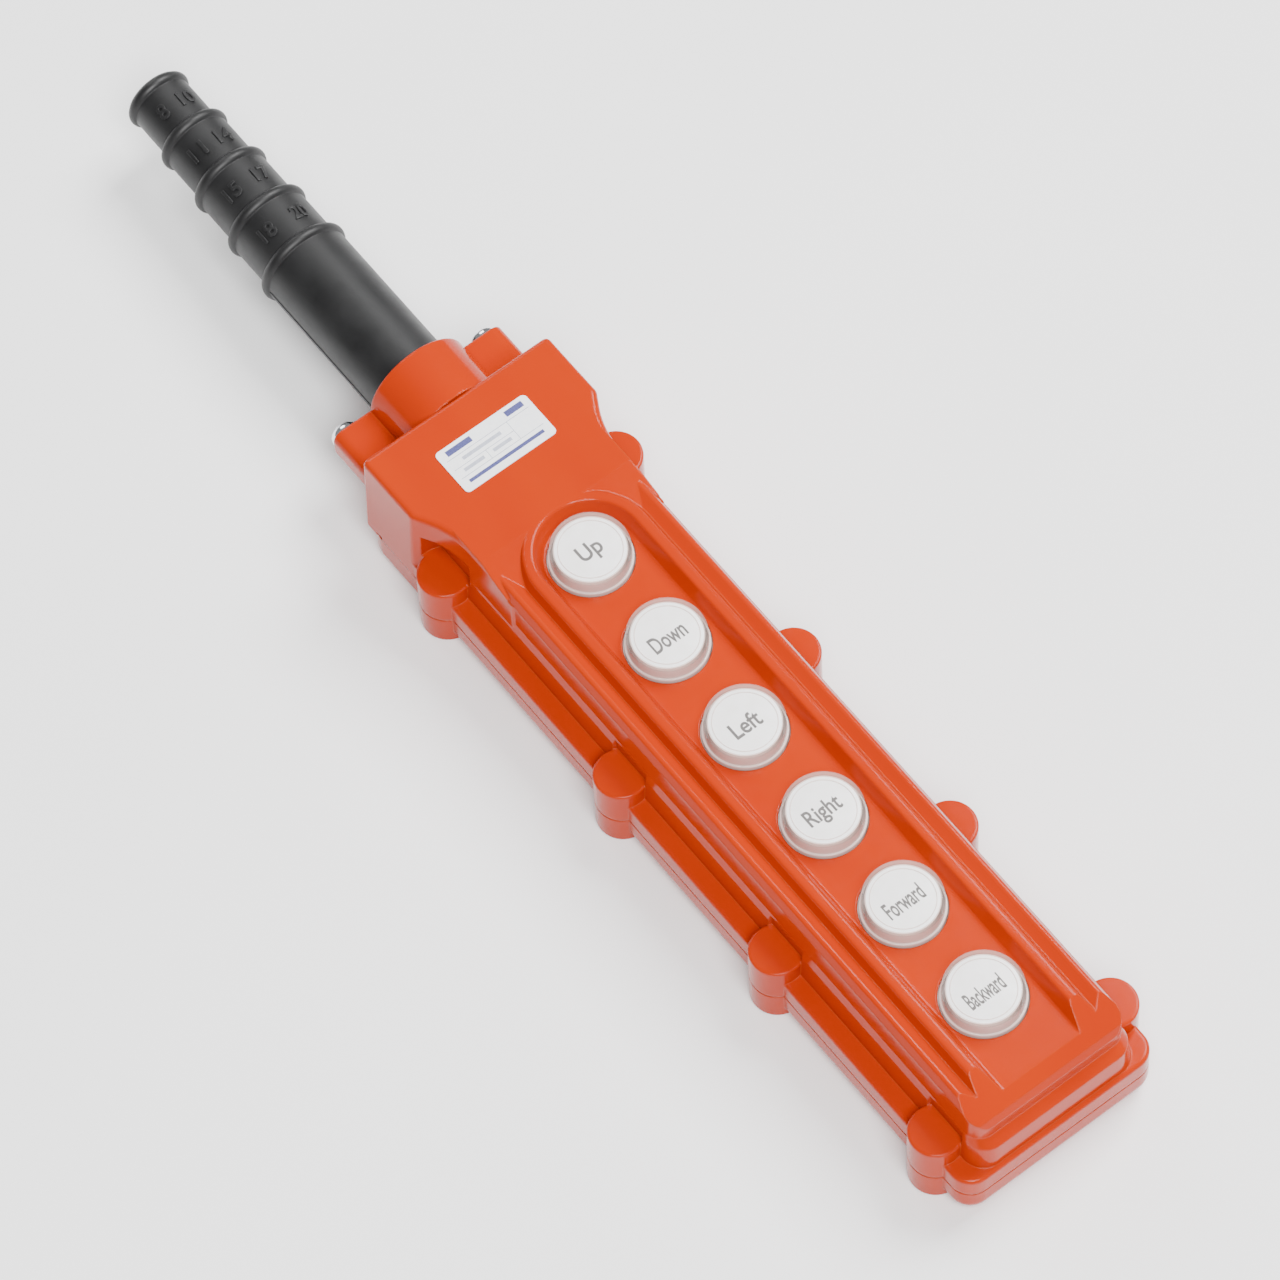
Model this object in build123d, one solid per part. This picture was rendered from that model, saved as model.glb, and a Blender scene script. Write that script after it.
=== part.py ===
"""Pendant control station: a hand-held crane and hoist control with six push buttons.

Millimetres. The station lies on its back: +Z points out of the buttons and +Y towards the
cable sleeve. The origin is on the back plane, under the middle of the whole station, which is
also under the first button.
"""
from build123d import *
import math
import os

# ---------------------------------------------------------------- driving dimensions
STATION_HALF_LENGTH = 216.0
BUTTON_PITCH = 36.0
BUTTON_NAMES = ("up", "down", "left", "right", "forward", "backward")
BUTTON_TRAVEL = 4.5

PARTING_Z = 12.5          # plane where the front shell meets the back cover
FLANGE_TOP_Z = 20.0
STEP_LOW_Z = 29.5         # soft step half way up the side wall
STEP_HIGH_Z = 32.5
PLATE_Z = 42.0            # floor of the long recess that the buttons stand in
HEAD_TOP_Z = 47.0
CABLE_Z = 25.0            # height of the cable sleeve's axis

FLANGE_HALF_WIDTH = 35.0
HEAD_TOP_HALF_WIDTH = 34.0
HEAD_END_Y = 65.0
COLLAR_END_Y = 85.0
WALL = 2.5

# ---------------------------------------------------------------- shell outline
FLANGE_CORNER_R = 7.0
FLANGE_EDGE_R = 1.2
LOWER_WALL_HALF_WIDTH = 29.3
STEP_HALF_WIDTH = 28.4
UPPER_WALL_HALF_WIDTH = 27.6
LOWER_WALL_END_Y = -214.5
STEP_END_Y = -214.0
UPPER_WALL_END_Y = -211.0
UPPER_CORNER_R = 5.5
HEAD_DRAFT_DEG = 2.0
HEAD_EDGE_R = 1.8
SHOULDER_BEND_Y = 41.2    # where the head's side starts to sweep in
SHOULDER_BEND_R = 3.0
WAIST_BEND_Y = 29.9       # where it reaches the mid body's width
WAIST_BEND_R = 30.0

# cross-section of the front face, from the recess outwards
RECESS_HALF_WIDTH = 14.0
RECESS_FLOOR_R = 0.8
RIDGE_INNER_X = 16.55       # the ridge round the recess, at the height of the head's top face
RIDGE_CENTRE_X = 18.0
RIDGE_OUTER_X = 19.65
RIDGE_INNER_R = 1.2
RIDGE_OUTER_R = 1.5
SHOULDER_R = 1.3
VALLEY_X = 21.4
VALLEY_Z = 43.3
SHOULDER_X = 25.55
SHOULDER_Z = 45.75
CREST_X = 27.35
CREST_Z = 42.5
VALLEY_END_Y = 3.4        # the valley climbs from here to the head's top face
HEAD_FACE_START_Y = 16.3

# the slope at the free end of the front face
END_SLOPE_FLOOR_Y = -205.5
END_SLOPE_LOW_Y = -209.5
END_SLOPE_GRADIENT = 0.6

CAVITY_HALF_WIDTH = 24.8
CAVITY_LOW_Y = -206.5
CAVITY_HIGH_Y = 60.0
HEAD_CAVITY_HALF_WIDTH = 31.0
HEAD_CAVITY_LOW_Y = 42.0
HEAD_CEILING_LOW_Y = 20.0

# ---------------------------------------------------------------- screw lugs
LUG_X = 31.6
LUG_R = 8.2
LUG_TOP_Z = 26.5
LUG_YS = (-198.0, -126.0, -54.0, 30.0)
LUG_EDGE_R = 0.7
LUG_POCKET_X = 27.5
LUG_POCKET_TOP_Z = 31.5
HEAD_POCKET_R = 8.8
HEAD_POCKET_X = 27.0
HEAD_POCKET_TOP_Z = 37.0

COVER_SCREW_R = 2.0
COVER_SCREW_HEAD_R = 3.6
COVER_SCREW_HEAD_H = 2.4
COVER_SCREW_SEAT_Z = 3.2
COVER_SCREW_TIP_Z = 22.0

# ---------------------------------------------------------------- back cover and gasket
COVER_EDGE_R = 6.3
COVER_HEAD_EDGE_R = 4.0
COVER_HEAD_CORNER_R = 8.0
COVER_HEAD_START_Y = 24.0
GASKET_WIDTH = 2.0
GASKET_THICKNESS = 1.2
GASKET_HALF_WIDTH = 28.2
GASKET_LOW_Y = -210.0
GASKET_HIGH_Y = 63.5
PRY_SLOT_Y = 57.7
PRY_SLOT_WIDTH = 2.4
PRY_SLOT_DEPTH = 1.6
PARTING_GROOVE_WIDTH = 0.6
PARTING_GROOVE_DEPTH = 0.6

# ---------------------------------------------------------------- gland and sleeve
COLLAR_R = 17.0
COLLAR_TOP_CENTRE_Z = 30.0
COLLAR_EDGE_R = 0.6
EAR_HALF_SPAN = 30.8
EAR_HALF_HEIGHT = 5.8
EAR_CORNER_R = 3.5
GLAND_SCREW_X = 25.75
GLAND_SCREW_R = 2.5
GLAND_SCREW_HEAD_R = 4.6
GLAND_SCREW_HEAD_H = 3.4
GLAND_SCREW_TIP_Y = 50.0
GLAND_BOSS_R = 5.0

SLEEVE_R = 14.0
SLEEVE_FLANGE_R = 15.4
SLEEVE_FLANGE_T = 3.9
BEAD_PITCH = 18.3
FIRST_BEAD_Y = 141.0
BEAD_HALF_WIDTH = 1.9
SECTION_RS = (12.95, 11.85, 10.75, 9.65)
SECTION_BORE_RS = (9.5, 8.0, 6.25, 4.5)
BEAD_PROUD = 1.1
BEAD_ROOT = 1.0
BORE_TAPER_LENGTH = 4.0
SLEEVE_BORE_R = 10.5
CABLE_BORE_R = 10.5

LABEL_WIDTH = 33.0
LABEL_HEIGHT = 16.4
LABEL_Y = 45.0
LABEL_THICKNESS = 0.3
LABEL_CORNER_R = 1.5

# ---------------------------------------------------------------- buttons
HOLE_R = 13.0
CAP_R = 12.0
CAP_RIM_R = 12.6
CAP_RIM_TOP_Z = 43.2
CAP_TOP_Z = 49.0
CAP_EDGE_R = 1.4
CAP_BORE_R = 10.9
CAP_CEILING_Z = 47.2
CAP_FLANGE_R = 14.4
CAP_FLANGE_TOP_Z = 38.5
CAP_FLANGE_LOW_Z = 36.9
SEAL_INNER_R = 13.1
SEAL_OUTER_R = 15.2
LEGEND_R = 10.7
LEGEND_THICKNESS = 1.3
PLUNGER_HEAD_R = 10.5
PLUNGER_HEAD_THICKNESS = 1.2
STEM_R = 2.6
STEM_TIP_Z = 16.5
COLLAR_WIDTH = 1.0          # of the stem's collar, out and up

# ---------------------------------------------------------------- contact blocks
BLOCK_HALF_LENGTH = 32.5
BLOCK_HALF_WIDTH = 21.0
BLOCK_BASE_Z = 8.0
LEDGE_Z = 14.6
TOWER_HALF_WIDTH = 11.0
TOWER_TOP_Z = 30.5
CHAMBER_HALF_LENGTH = 4.5
CHAMBER_TOP_Z = 24.0
GUIDE_R = 2.95
STEM_WELL_Z = 10.0
TERMINAL_WELL_Z = 9.6
STRIP_HALF_WIDTH = 2.5
STRIP_T = 0.8
STRIP_INNER_X = 4.5
STRIP_OUTER_X = 19.5
CONTACT_X = 7.0
CONTACT_R = 1.5
CONTACT_H = 0.6
BRIDGE_Z = 21.2
BRIDGE_HALF_LENGTH = 9.0
TERMINAL_X = 16.5
SMALL_SCREW_R = 1.5
SMALL_SCREW_HEAD_R = 2.8
SMALL_SCREW_HEAD_H = 2.0
SCREW_CLEARANCE = 0.15
BLOCK_SCREW_OFFSET = 28.5
BLOCK_SCREW_SEAT_Z = 28.0

RAIL_HALF_WIDTH = 20.0
RAIL_THICKNESS = 1.5
RAIL_LOW_Y = -204.0
RAIL_HIGH_Y = 30.0
RAIL_SCREW_YS = (-199.5, -126.0, -54.0, 22.0)
RAIL_BOSS_R = 4.0
EARTH_X = 12.0
EARTH_Y = 24.0
EARTH_SCREW_R = 2.0

SPRING_WIRE_R = 0.4
SPRING_R = 3.85
SPRING_TURNS = 6

# ---------------------------------------------------------------- cable clamp
CLAMP_Y = 46.0
CLAMP_HALF_LENGTH = 3.0
CLAMP_HALF_WIDTH = 20.0
CLAMP_LOW_Z = 17.5
CLAMP_TOP_Z = 24.0
CLAMP_GROOVE_R = 6.0
CLAMP_BOSS_X = 15.0
CLAMP_BOSS_R = 4.0
CRADLE_HALF_WIDTH = 8.0

SHELL_LOW_Y = -STATION_HALF_LENGTH
BEYOND = 60.0             # cutting solids reach this far past what they cut


def button_y(index):
    """Y of a button's axis, counted from the sleeve end."""
    return -index * BUTTON_PITCH


def pair_y(pair):
    """Y of the middle of a contact block, which serves two buttons."""
    return -(2 * pair + 0.5) * BUTTON_PITCH


def slab(x_low, x_high, y_low, y_high, z_low, z_high):
    """Box between two corners."""
    size = (x_high - x_low, y_high - y_low, z_high - z_low)
    centre = ((x_high + x_low) / 2, (y_high + y_low) / 2, (z_high + z_low) / 2)
    return Pos(*centre) * Box(*size)


def post(x, y, radius, z_low, z_high):
    """Upright cylinder."""
    return Pos(x, y, (z_low + z_high) / 2) * Cylinder(radius, z_high - z_low)


def rod_y(x, z, radius, y_low, y_high):
    """Cylinder along Y."""
    return Pos(x, (y_low + y_high) / 2, z) * Rot(90, 0, 0) * Cylinder(radius, y_high - y_low)


def outline(half_width, y_low, y_high, low_corner_r, high_corner_r, z):
    """Face of a long rectangle with different corners at its two ends, at height z."""
    face = Pos(0, (y_low + y_high) / 2) * Rectangle(2 * half_width, y_high - y_low)
    if low_corner_r > 0:
        face = fillet(face.vertices().group_by(Axis.Y)[0], low_corner_r)
    if high_corner_r > 0:
        face = fillet(face.vertices().group_by(Axis.Y)[-1], high_corner_r)
    return Pos(0, 0, z) * face


def prism_x(points, half_length):
    """Extrude a closed outline of (y, z) points along X, evenly about X = 0."""
    face = make_face(Polyline(*[(0, y, z) for y, z in points], close=True))
    return extrude(face, amount=half_length, dir=(1, 0, 0), both=True)


def prism_y(points, y_low, y_high):
    """Extrude a closed outline of (x, z) points along Y."""
    face = make_face(Polyline(*[(x, y_low, z) for x, z in points], close=True))
    return extrude(face, amount=y_high - y_low, dir=(0, 1, 0))


def both_sides(solid):
    """A solid and its mirror image across X = 0."""
    return solid + mirror(solid, about=Plane.YZ)


def lug_places():
    """All eight screw lug axes."""
    return [(side * LUG_X, y) for y in LUG_YS for side in (-1, 1)]


# ================================================================= front shell
def mid_body():
    """Flange, lower wall, soft step and upper wall of the long part of the shell."""
    flange = extrude(
        outline(FLANGE_HALF_WIDTH, SHELL_LOW_Y, HEAD_END_Y, FLANGE_CORNER_R, HEAD_EDGE_R, PARTING_Z),
        amount=FLANGE_TOP_Z - PARTING_Z)
    flange = fillet(flange.edges().group_by(Axis.Z)[-1], FLANGE_EDGE_R)
    top_y = LUG_YS[-1]
    low = outline(LOWER_WALL_HALF_WIDTH, LOWER_WALL_END_Y, top_y, FLANGE_CORNER_R, 0, FLANGE_TOP_Z)
    step_low = outline(STEP_HALF_WIDTH, STEP_END_Y, top_y, FLANGE_CORNER_R, 0, STEP_LOW_Z)
    step_high = outline(UPPER_WALL_HALF_WIDTH, UPPER_WALL_END_Y, top_y, UPPER_CORNER_R, 0, STEP_HIGH_Z)
    top = outline(CREST_X, UPPER_WALL_END_Y + 0.3, top_y, UPPER_CORNER_R, 0, HEAD_TOP_Z)
    lower_wall = loft([low, step_low], ruled=True)
    step = loft([step_low, step_high], ruled=True)
    upper_wall = loft([step_high, top], ruled=True)
    return flange + lower_wall + step + upper_wall


def head_outline(half_width, waist_half_width, end_y, z):
    """Face of the head at height z: wide at the sleeve end, with sides that sweep in to a waist."""
    side = FilletPolyline(
        (0, end_y), (half_width, end_y), (half_width, SHOULDER_BEND_Y),
        (waist_half_width, WAIST_BEND_Y), (waist_half_width, 0), (0, 0),
        radius=[HEAD_EDGE_R, SHOULDER_BEND_R, WAIST_BEND_R, HEAD_EDGE_R])
    return Pos(0, 0, z) * make_face(side + mirror(side, about=Plane.YZ))


def head_block():
    """Wide head at the sleeve end; its sides sweep in to the mid body round the last lugs."""
    inset = (HEAD_TOP_Z - PARTING_Z) * math.tan(math.radians(HEAD_DRAFT_DEG))
    end_y = HEAD_END_Y + 2 * HEAD_EDGE_R
    low = head_outline(HEAD_TOP_HALF_WIDTH + inset, UPPER_WALL_HALF_WIDTH + inset, end_y, PARTING_Z)
    top = head_outline(HEAD_TOP_HALF_WIDTH, UPPER_WALL_HALF_WIDTH, end_y, HEAD_TOP_Z)
    block = loft([low, top], ruled=True)
    block = block - slab(-BEYOND, BEYOND, HEAD_END_Y, HEAD_END_Y + BEYOND, 0, BEYOND)
    corners = block.edges().filter_by(
        lambda edge: edge.center().Y > HEAD_END_Y - 0.1 and abs(edge.center().X) > HEAD_TOP_HALF_WIDTH - 1)
    block = fillet(corners, HEAD_EDGE_R)
    return fillet(block.edges().group_by(Axis.Z)[-1], HEAD_EDGE_R)


def profile_face(runs, rest):
    """Face in the XZ plane: lines with rounded corners, closed by straight lines."""
    lines = Curve()
    for points, radii in runs:
        lines = lines + FilletPolyline(*[(x, 0, z) for x, z in points], radius=radii)
    ends = [runs[-1][0][-1]] + rest + [runs[0][0][0]]
    return make_face(lines + Polyline(*[(x, 0, z) for x, z in ends]))


def along_y(face, y_low, y_high):
    """Face in the XZ plane drawn out along Y."""
    return extrude(Pos(0, y_high, 0) * face, amount=y_high - y_low, dir=(0, -1, 0))


def valley_cutters():
    """What is cut from the front face between the button recess's ridge and the side walls."""
    top_z = HEAD_TOP_Z + 1
    ridge = ([(RIDGE_CENTRE_X, HEAD_TOP_Z), (RIDGE_OUTER_X, HEAD_TOP_Z), (VALLEY_X, VALLEY_Z)],
             [RIDGE_OUTER_R])
    shoulder = ([(VALLEY_X, VALLEY_Z), (SHOULDER_X, SHOULDER_Z), (CREST_X, CREST_Z)], [SHOULDER_R])
    outside = [(BEYOND, CREST_Z), (BEYOND, top_z)]
    beside_ridge = profile_face([ridge, shoulder], outside + [(RIDGE_CENTRE_X, top_z)])
    across_head = profile_face([shoulder], outside + [(0, top_z), (0, VALLEY_Z)])
    rise = (HEAD_TOP_Z - VALLEY_Z) / (HEAD_FACE_START_Y - VALLEY_END_Y)
    end_y = HEAD_FACE_START_Y + 1
    above_ramp = prism_x([
        (-1, VALLEY_Z - 5), (VALLEY_END_Y, VALLEY_Z - 5), (VALLEY_END_Y, VALLEY_Z),
        (end_y + 1, VALLEY_Z + (end_y + 1 - VALLEY_END_Y) * rise), (end_y + 1, top_z + 5),
        (-1, top_z + 5)], 2 * BEYOND)
    lean = (VALLEY_X - RIDGE_OUTER_X) / (HEAD_TOP_Z - VALLEY_Z)
    foot = (VALLEY_X + lean, VALLEY_Z - 1)
    arch = profile_face(
        [([(RIDGE_CENTRE_X, HEAD_TOP_Z), (RIDGE_OUTER_X, HEAD_TOP_Z), foot], [RIDGE_OUTER_R])],
        [(0, VALLEY_Z - 1), (0, HEAD_TOP_Z)])
    head_end = (along_y(across_head, 0, end_y) & above_ramp) - revolve(arch, axis=Axis.Z)
    run = along_y(beside_ridge, SHELL_LOW_Y - BEYOND, 0)
    return [both_sides(run), both_sides(head_end)]


def button_recess():
    """Long recess with a round end at the first button and an open run-out at the other end."""
    top_z = HEAD_TOP_Z + 1
    side = [(0, PLATE_Z), (RECESS_HALF_WIDTH, PLATE_Z), (RIDGE_INNER_X, HEAD_TOP_Z),
            (RIDGE_CENTRE_X, HEAD_TOP_Z)]
    half = profile_face([(side, [RECESS_FLOOR_R, RIDGE_INNER_R])],
                        [(RIDGE_CENTRE_X, top_z), (0, top_z)])
    run = along_y(half, SHELL_LOW_Y - BEYOND, 0)
    return revolve(half, axis=Axis.Z) + both_sides(run)


def end_slope():
    """Everything above the slope at the free end of the front face."""
    slope_top_y = END_SLOPE_FLOOR_Y + (HEAD_TOP_Z + 1 - PLATE_Z) / END_SLOPE_GRADIENT
    slope_low_z = PLATE_Z - (END_SLOPE_FLOOR_Y - END_SLOPE_LOW_Y) * END_SLOPE_GRADIENT
    return prism_x([
        (slope_top_y, HEAD_TOP_Z + 1), (END_SLOPE_LOW_Y, slope_low_z),
        (UPPER_WALL_END_Y - 0.2, slope_low_z - 3.0), (SHELL_LOW_Y - 5, slope_low_z - 3.0),
        (SHELL_LOW_Y - 5, HEAD_TOP_Z + 5), (slope_top_y, HEAD_TOP_Z + 5)], BEYOND)


def shell_cavity():
    """Inside of the front shell, with the higher and wider space in the head."""
    cavity = extrude(
        outline(CAVITY_HALF_WIDTH, CAVITY_LOW_Y, CAVITY_HIGH_Y, 3, 3, PARTING_Z),
        amount=PLATE_Z - WALL - PARTING_Z)
    ceiling_z = HEAD_TOP_Z - WALL
    raised = slab(-CAVITY_HALF_WIDTH, CAVITY_HALF_WIDTH, HEAD_CEILING_LOW_Y, CAVITY_HIGH_Y,
                  PLATE_Z - WALL - 1, ceiling_z)
    wide = slab(-HEAD_CAVITY_HALF_WIDTH, HEAD_CAVITY_HALF_WIDTH, HEAD_CAVITY_LOW_Y, CAVITY_HIGH_Y,
                FLANGE_TOP_Z, ceiling_z)
    return cavity + raised + wide


def head_bosses():
    """Bosses for the gland screws and the cable clamp, and the clamp's fixed cradle."""
    ceiling_z = HEAD_TOP_Z - 1.0
    gland = rod_y(GLAND_SCREW_X, CABLE_Z, GLAND_BOSS_R, GLAND_SCREW_TIP_Y - 2, CAVITY_HIGH_Y + 1)
    clamp = post(CLAMP_BOSS_X, CLAMP_Y, CLAMP_BOSS_R, CLAMP_TOP_Z, ceiling_z)
    cradle = slab(-CRADLE_HALF_WIDTH, CRADLE_HALF_WIDTH, CLAMP_Y - CLAMP_HALF_LENGTH,
                  CLAMP_Y + CLAMP_HALF_LENGTH, CABLE_Z + 3, ceiling_z)
    cradle = cradle - rod_y(0, CABLE_Z, CLAMP_GROOVE_R, 0, HEAD_END_Y)
    return both_sides(gland + clamp) + cradle


def head_holes():
    """Cable bore, gland screw holes and clamp screw holes in the head."""
    bore = rod_y(0, CABLE_Z, CABLE_BORE_R, CAVITY_HIGH_Y - 1, HEAD_END_Y + 1)
    gland = rod_y(GLAND_SCREW_X, CABLE_Z, GLAND_SCREW_R + 0.05, GLAND_SCREW_TIP_Y - 1, HEAD_END_Y + 1)
    clamp = post(CLAMP_BOSS_X, CLAMP_Y, SMALL_SCREW_R + 0.05, CLAMP_TOP_Z - 1, HEAD_TOP_Z - 8)
    return bore + both_sides(gland + clamp)


def lug_pockets():
    """Flats let into the side walls above the lugs, so that each lug's top is a full disc."""
    pockets = None
    for x, y in lug_places():
        is_head = y == LUG_YS[-1]
        radius = HEAD_POCKET_R if is_head else LUG_R
        inner_x = HEAD_POCKET_X if is_head else LUG_POCKET_X
        top_z = HEAD_POCKET_TOP_Z if is_head else LUG_POCKET_TOP_Z
        pocket = post(x, y, radius, LUG_TOP_Z, top_z)
        pocket = pocket - slab(-inner_x, inner_x, y - BEYOND, y + BEYOND, 0, BEYOND)
        pockets = pocket if pockets is None else pockets + pocket
    return pockets


def front_shell():
    """Moulded front half: it carries the buttons, the label and the gland."""
    shell = mid_body() + head_block()
    for cutter in valley_cutters() + [button_recess(), end_slope()]:
        shell = shell - cutter
    for x, y in lug_places():
        lug = post(x, y, LUG_R, PARTING_Z, LUG_TOP_Z)
        shell = shell + fillet(lug.edges().sort_by(Axis.Z)[-1], LUG_EDGE_R)
    shell = shell - lug_pockets() - shell_cavity() + head_bosses() - head_holes()
    for index in range(len(BUTTON_NAMES)):
        shell = shell - post(0, button_y(index), HOLE_R, PLATE_Z - WALL - 1, PLATE_Z + 1)
    for x, y in lug_places():
        shell = shell - post(x, y, COVER_SCREW_R + 0.05, PARTING_Z - 1, COVER_SCREW_TIP_Z + 1)
    slot_x = HEAD_TOP_HALF_WIDTH + 1.2
    slot = slab(slot_x - PRY_SLOT_DEPTH, slot_x + 1, PRY_SLOT_Y - PRY_SLOT_WIDTH / 2,
                PRY_SLOT_Y + PRY_SLOT_WIDTH / 2, PARTING_Z - 1, PARTING_Z + PRY_SLOT_DEPTH)
    return shell - both_sides(slot)


# ================================================================= back cover and its seal
def gasket_ring(z_low, z_high):
    """Closed loop of sealing cord section between two heights."""
    outer = outline(GASKET_HALF_WIDTH, GASKET_LOW_Y, GASKET_HIGH_Y, 4, 4, z_low)
    inner = outline(GASKET_HALF_WIDTH - GASKET_WIDTH, GASKET_LOW_Y + GASKET_WIDTH,
                    GASKET_HIGH_Y - GASKET_WIDTH, 2, 2, z_low)
    return extrude(outer - inner, amount=z_high - z_low)


def back_cover():
    """Moulded back half: a flat tray with rounded edges and the lower half of each lug."""
    long_part = extrude(
        outline(FLANGE_HALF_WIDTH, SHELL_LOW_Y, COVER_HEAD_START_Y + 10, FLANGE_CORNER_R, 0, 0),
        amount=PARTING_Z)
    long_part = fillet(long_part.edges().group_by(Axis.Z)[0].filter_by(
        lambda edge: edge.center().Y < COVER_HEAD_START_Y + 9), COVER_EDGE_R)
    head_part = extrude(
        outline(FLANGE_HALF_WIDTH, COVER_HEAD_START_Y, HEAD_END_Y, 0, COVER_HEAD_CORNER_R, 0),
        amount=PARTING_Z)
    head_part = fillet(head_part.edges().group_by(Axis.Z)[0], COVER_HEAD_EDGE_R)
    cover = long_part + head_part
    for x, y in lug_places():
        lug = post(x, y, LUG_R, 0, PARTING_Z)
        cover = cover + fillet(lug.edges().sort_by(Axis.Z)[0], LUG_EDGE_R)
    cover = cover - extrude(
        outline(CAVITY_HALF_WIDTH, CAVITY_LOW_Y, CAVITY_HIGH_Y, 3, 3, WALL), amount=PARTING_Z)
    for y in RAIL_SCREW_YS:
        cover = cover + post(0, y, RAIL_BOSS_R, WALL - 1, BLOCK_BASE_Z - RAIL_THICKNESS)
        cover = cover - post(0, y, SMALL_SCREW_R + 0.05, WALL - 1, BLOCK_BASE_Z)
    for x, y in lug_places():
        cover = cover - post(x, y, COVER_SCREW_HEAD_R + 0.4, -1, COVER_SCREW_SEAT_Z)
        cover = cover - post(x, y, COVER_SCREW_R + 0.3, 0, PARTING_Z + 1)
    return cover - gasket_ring(PARTING_Z - GASKET_THICKNESS, PARTING_Z + 1) - parting_groove()


def parting_groove():
    """Fine groove all round the cover's rim, just under the parting plane."""
    low_z = PARTING_Z - PARTING_GROOVE_WIDTH
    inset = PARTING_GROOVE_DEPTH
    kept = outline(FLANGE_HALF_WIDTH - inset, SHELL_LOW_Y + inset, HEAD_END_Y - inset,
                   FLANGE_CORNER_R, HEAD_EDGE_R, low_z)
    for x, y in lug_places():
        kept = kept + Pos(x, y, low_z) * Circle(LUG_R - inset)
    whole = slab(-BEYOND, BEYOND, 4 * SHELL_LOW_Y, BEYOND + HEAD_END_Y, low_z, PARTING_Z + 1)
    return whole - extrude(kept, amount=PARTING_Z + 1 - low_z)


def cover_gasket():
    """Rubber seal in the cover's groove."""
    return gasket_ring(PARTING_Z - GASKET_THICKNESS, PARTING_Z)


def cross_recess(radius, depth):
    """Cross-shaped driver recess, open at Z = 0 and going down."""
    bar = Pos(0, 0, -depth / 2) * Box(2 * radius, 0.9, depth)
    return bar + Rot(0, 0, 90) * bar


def pan_screw(shank_r, head_r, head_h, shank_length):
    """Pan-head screw: the head stands on Z = 0 and the shank goes down."""
    head = Pos(0, 0, head_h / 2) * Cylinder(head_r, head_h)
    head = fillet(head.edges().sort_by(Axis.Z)[-1], head_h * 0.45)
    shank = Pos(0, 0, -shank_length / 2) * Cylinder(shank_r, shank_length)
    shank = chamfer(shank.edges().sort_by(Axis.Z)[0], shank_r * 0.3)
    return head + shank - Pos(0, 0, head_h) * cross_recess(head_r * 0.6, head_h * 0.5)


def cover_screws():
    """Eight screws driven from the back, their heads sunk in the lugs."""
    screw = pan_screw(COVER_SCREW_R, COVER_SCREW_HEAD_R, COVER_SCREW_HEAD_H,
                      COVER_SCREW_TIP_Z - COVER_SCREW_SEAT_Z)
    return [Pos(x, y, COVER_SCREW_SEAT_Z) * Rot(180, 0, 0) * screw for x, y in lug_places()]


def rating_label():
    """Thin plate with rounded corners on the head's top face."""
    face = Pos(0, LABEL_Y, HEAD_TOP_Z) * RectangleRounded(LABEL_WIDTH, LABEL_HEIGHT, LABEL_CORNER_R)
    return extrude(face, amount=LABEL_THICKNESS)


# ================================================================= cable sleeve and gland
def cable_sleeve():
    """Tapered rubber sleeve; it is cut back at the bead that suits the cable's diameter."""
    flange_end_y = HEAD_END_Y + SLEEVE_FLANGE_T
    outer = [(SLEEVE_BORE_R, HEAD_END_Y), (SLEEVE_FLANGE_R, HEAD_END_Y),
             (SLEEVE_FLANGE_R, flange_end_y), (SLEEVE_R, flange_end_y)]
    bore = [(SLEEVE_BORE_R, FIRST_BEAD_Y - BORE_TAPER_LENGTH)]
    beads = []
    radius = SLEEVE_R
    y = FIRST_BEAD_Y
    for section_r, bore_r in zip(SECTION_RS, SECTION_BORE_RS):
        outer += [(radius, y), (section_r, y)]
        bore += [(bore_r, y), (bore_r, y + BEAD_PITCH - BORE_TAPER_LENGTH)]
        beads.append((y, radius + BEAD_PROUD, section_r))
        radius = section_r
        y += BEAD_PITCH
    outer.append((radius, STATION_HALF_LENGTH))
    bore[-1] = (SECTION_BORE_RS[-1], STATION_HALF_LENGTH)
    face = make_face(Polyline(*(outer + list(reversed(bore))), close=True))
    body = revolve(face, axis=Axis.Y)
    beads.append((STATION_HALF_LENGTH - BEAD_HALF_WIDTH, radius + BEAD_PROUD, radius))
    for y, outer_r, section_r in beads:
        body = body + sleeve_bead(y, outer_r, section_r - BEAD_ROOT)
    return Pos(0, 0, CABLE_Z) * body


def sleeve_bead(y, outer_r, inner_r):
    """Ring with a half-round outside, round the Y axis."""
    half = BEAD_HALF_WIDTH
    edge_r = outer_r - half * 0.75
    side = Line((inner_r, y - half), (edge_r, y - half))
    top = ThreePointArc((edge_r, y - half), (outer_r, y), (edge_r, y + half))
    back = Polyline((edge_r, y + half), (inner_r, y + half), (inner_r, y - half))
    return revolve(make_face(Curve() + [side, top, back]), axis=Axis.Y)


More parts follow.
